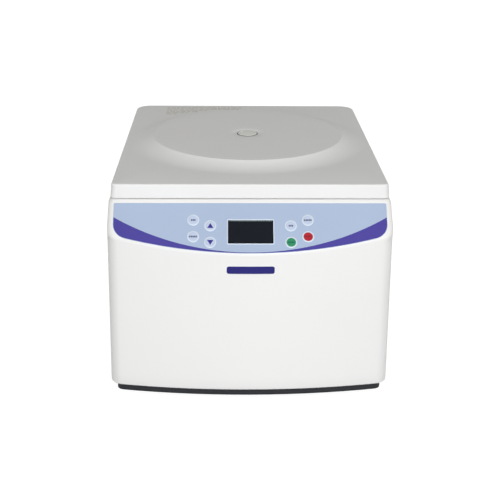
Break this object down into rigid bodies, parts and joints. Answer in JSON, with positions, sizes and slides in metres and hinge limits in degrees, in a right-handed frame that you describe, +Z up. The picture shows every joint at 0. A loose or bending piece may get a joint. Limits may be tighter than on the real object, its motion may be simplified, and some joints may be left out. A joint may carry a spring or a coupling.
{
  "type": "laboratory centrifuge",
  "caption": "Benchtop laboratory centrifuge with a hinged lid and viewing port, a sloping key and display panel, and a fixed-angle tube rotor in a steel chamber.",
  "frame": {"origin": "centre of the bounding box, in the plane that the feet stand on", "axes": "+Z up, the control panel faces -Y, +X to its right seen from the front"},
  "size_m": [0.404, 0.526, 0.324],
  "materials": {
    "housing_white": "satin",
    "lid_white": "satin",
    "liner_grey": "satin",
    "tray_dark": "matte",
    "rubber_dark": "matte",
    "screw_steel": "satin",
    "panel_grey": "satin",
    "deck_paint": "satin",
    "bowl_steel": "brushed",
    "guard_steel": "matte",
    "motor_steel": "matte",
    "alloy": "satin",
    "overlay_film": "satin",
    "pale_plastic": "satin",
    "green_plastic": "satin",
    "red_plastic": "satin",
    "screen_dark": "gloss",
    "circuit_green": "matte",
    "black_plastic": "satin",
    "cable_grey": "matte",
    "silicone_pale": "matte",
    "window_clear": "gloss"
  },
  "bodies": {
    "housing": {"base_tray": "tray_dark", "rubber_feet": "rubber_dark", "foot_screws": "screw_steel", "housing_shell": "housing_white", "rear_panel": "panel_grey", "rear_screws": "screw_steel", "top_deck": "deck_paint", "deck_screws": "screw_steel", "chamber_bowl": "bowl_steel", "chamber_seal": "rubber_dark", "guard_ring": "guard_steel", "motor_plate": "guard_steel", "vibration_dampers": "rubber_dark", "damper_bolts": "screw_steel", "motor_stator": "motor_steel", "motor_end_caps": "alloy", "motor_bearings": "screw_steel", "shaft_boot": "rubber_dark", "control_overlay": "overlay_film", "key_rings": "pale_plastic", "display_bezel": "pale_plastic", "display_window": "screen_dark", "display_module": "circuit_green", "control_board": "circuit_green", "board_standoffs": "screw_steel", "key_switches": "black_plastic", "driver_board": "circuit_green", "heat_sink": "alloy", "ribbon_cable": "cable_grey", "power_inlet": "black_plastic", "inlet_pins": "screw_steel", "switch_frame": "black_plastic", "lock_bracket": "guard_steel", "lock_solenoid": "motor_steel", "hinge_brackets": "screw_steel", "hinge_pins": "screw_steel", "hinge_screws": "screw_steel"},
    "lid": {"lid_shell": "lid_white", "lid_liner": "liner_grey", "view_window": "window_clear", "window_gasket": "silicone_pale", "window_sleeve": "lid_white", "lid_striker": "screw_steel", "hinge_leaves": "screw_steel", "lid_screws": "screw_steel"},
    "rotor": {"spindle": "screw_steel", "armature": "motor_steel", "rotor_body": "alloy", "rotor_knob": "black_plastic"},
    "rocker": {"power_rocker": "black_plastic"},
    "bolt": {"lock_bolt": "screw_steel"},
    "press_set": {"key_set": "pale_plastic"},
    "press_enter": {"key_enter": "pale_plastic"},
    "press_up": {"key_up": "pale_plastic"},
    "press_down": {"key_down": "pale_plastic"},
    "press_program": {"key_program": "pale_plastic"},
    "press_pulse": {"key_pulse": "pale_plastic"},
    "press_start": {"key_start": "green_plastic"},
    "press_stop": {"key_stop": "red_plastic"}
  },
  "joints": [
    {"name": "lid_hinge", "type": "hinge", "parent": "housing", "child": "lid", "pos_m": [0, 0.257, 0.294], "axis": [-1, 0, 0], "range_deg": [0, 75]},
    {"name": "rotor_spin", "type": "hinge", "parent": "housing", "child": "rotor", "pos_m": [0, 0.026, 0.2], "axis": [0, 0, 1], "continuous": true},
    {"name": "rocker_tip", "type": "hinge", "parent": "housing", "child": "rocker", "pos_m": [0.13, 0.249, 0.104], "axis": [-1, 0, 0], "range_deg": [0, 14]},
    {"name": "bolt_slide", "type": "slide", "parent": "housing", "child": "bolt", "axis": [1, 0, 0], "range_m": [0, 0.017]},
    {"name": "key_set_press", "type": "slide", "parent": "housing", "child": "press_set", "axis": [0, 0.729, -0.6845], "range_m": [0, 0.0006], "stiffness_N_per_m": 800},
    {"name": "key_enter_press", "type": "slide", "parent": "housing", "child": "press_enter", "axis": [0, 0.729, -0.6845], "range_m": [0, 0.0006], "stiffness_N_per_m": 800},
    {"name": "key_up_press", "type": "slide", "parent": "housing", "child": "press_up", "axis": [0, 0.729, -0.6845], "range_m": [0, 0.0006], "stiffness_N_per_m": 800},
    {"name": "key_down_press", "type": "slide", "parent": "housing", "child": "press_down", "axis": [0, 0.729, -0.6845], "range_m": [0, 0.0006], "stiffness_N_per_m": 800},
    {"name": "key_program_press", "type": "slide", "parent": "housing", "child": "press_program", "axis": [0, 0.729, -0.6845], "range_m": [0, 0.0006], "stiffness_N_per_m": 800},
    {"name": "key_pulse_press", "type": "slide", "parent": "housing", "child": "press_pulse", "axis": [0, 0.729, -0.6845], "range_m": [0, 0.0006], "stiffness_N_per_m": 800},
    {"name": "key_start_press", "type": "slide", "parent": "housing", "child": "press_start", "axis": [0, 0.729, -0.6845], "range_m": [0, 0.0006], "stiffness_N_per_m": 800},
    {"name": "key_stop_press", "type": "slide", "parent": "housing", "child": "press_stop", "axis": [0, 0.729, -0.6845], "range_m": [0, 0.0006], "stiffness_N_per_m": 800}
  ]
}
